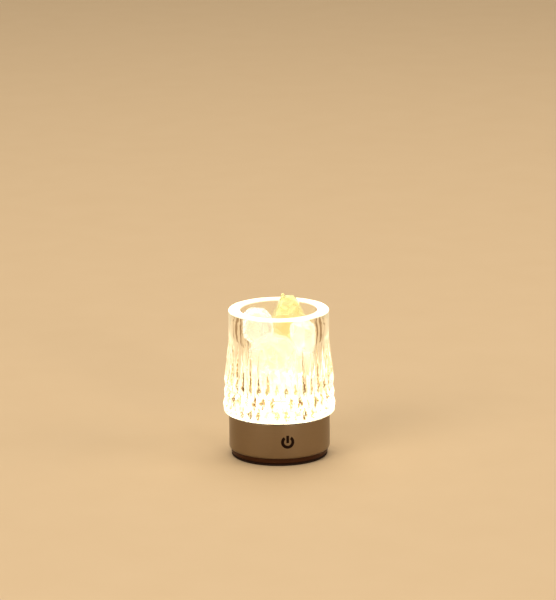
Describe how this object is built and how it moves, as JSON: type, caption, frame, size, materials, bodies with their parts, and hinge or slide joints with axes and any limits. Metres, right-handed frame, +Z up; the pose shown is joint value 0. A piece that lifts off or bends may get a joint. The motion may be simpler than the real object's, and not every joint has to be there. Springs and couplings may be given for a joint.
{
  "type": "battery table lamp",
  "caption": "Cut crystal cup of rough translucent stones that lifts off a round satin metal base, lit from below, with a touch spot and a charging port.",
  "frame": {"origin": "middle of the foot pad's underside, on the table", "axes": "+Z up through the cup; -Y towards the printed touch spot, +Y towards the charging port"},
  "size_m": [0.0894, 0.0894, 0.129],
  "materials": {
    "foot_rubber": "matt black rubber pad",
    "cover_plastic": "very dark moulded plastic",
    "shell_metal": "satin champagne, anodised",
    "frame_plastic": "white moulded plastic",
    "cell_sleeve": "plastic sleeve over a metal can, with the mass of a lithium cell",
    "screw_steel": "zinc plated",
    "port_steel": "nickel plated",
    "foam": "soft foam",
    "circuit_board": "green solder mask",
    "chip_plastic": "moulded black",
    "coil_copper": "wound copper",
    "light_board": "white solder mask on aluminium",
    "light_emitter": "yellow phosphor",
    "lead_red": "red sleeve",
    "lead_black": "black sleeve",
    "frosted_window": "frosted acrylic",
    "seat_rubber": "thin grey silicone",
    "cut_glass": "clear, cut and polished",
    "rough_crystal": "rough, cloudy white to pale yellow"
  },
  "bodies": {
    "base": {"foot_pad": "foot_rubber", "bottom_cover": "cover_plastic", "base_shell": "shell_metal", "inner_frame": "frame_plastic", "battery_cell": "cell_sleeve", "cover_screw_1": "screw_steel", "cover_screw_2": "screw_steel", "cover_screw_3": "screw_steel", "cover_screw_4": "screw_steel", "cell_tab_plus": "screw_steel", "cell_tab_minus": "screw_steel", "cell_foam": "foam", "main_board": "circuit_board", "board_screw_1": "screw_steel", "board_screw_2": "screw_steel", "port_shell": "port_steel", "port_tongue": "chip_plastic", "charge_chip": "chip_plastic", "power_coil": "coil_copper", "board_capacitor": "chip_plastic", "touch_board": "circuit_board", "touch_chip": "chip_plastic", "touch_spring": "screw_steel", "led_board": "light_board", "led_1": "light_emitter", "led_2": "light_emitter", "led_3": "light_emitter", "led_4": "light_emitter", "led_5": "light_emitter", "led_6": "light_emitter", "led_7": "light_emitter", "led_8": "light_emitter", "led_screw_1": "screw_steel", "led_screw_2": "screw_steel", "led_screw_3": "screw_steel", "cell_lead_plus": "lead_red", "cell_lead_minus": "lead_black", "light_lead_plus": "lead_red", "light_lead_minus": "lead_black", "touch_lead": "lead_black", "light_window": "frosted_window", "seat_ring": "seat_rubber"},
    "cup": {"glass_cup": "cut_glass"},
    "lower_stones": {"stone_middle": "rough_crystal", "stone_back": "rough_crystal", "stone_low_right": "rough_crystal", "stone_floor_left": "rough_crystal", "stone_floor_right": "rough_crystal", "stone_floor_back": "rough_crystal"},
    "top_stone": {"stone_top": "rough_crystal"},
    "left_stone": {"stone_left": "rough_crystal"},
    "right_stone": {"stone_right": "rough_crystal"}
  },
  "joints": [
    {"name": "cup_lift", "type": "slide", "parent": "base", "child": "cup", "axis": [0, 0, 1], "range_m": [0, 0.06]},
    {"name": "stones_lift", "type": "slide", "parent": "cup", "child": "lower_stones", "axis": [0, 0, 1], "range_m": [0, 0.08]},
    {"name": "top_stone_lift", "type": "slide", "parent": "lower_stones", "child": "top_stone", "axis": [0, 0, 1], "range_m": [0, 0.04]},
    {"name": "left_stone_lift", "type": "slide", "parent": "lower_stones", "child": "left_stone", "axis": [0, 0, 1], "range_m": [0, 0.04]},
    {"name": "right_stone_lift", "type": "slide", "parent": "lower_stones", "child": "right_stone", "axis": [0, 0, 1], "range_m": [0, 0.04]}
  ]
}
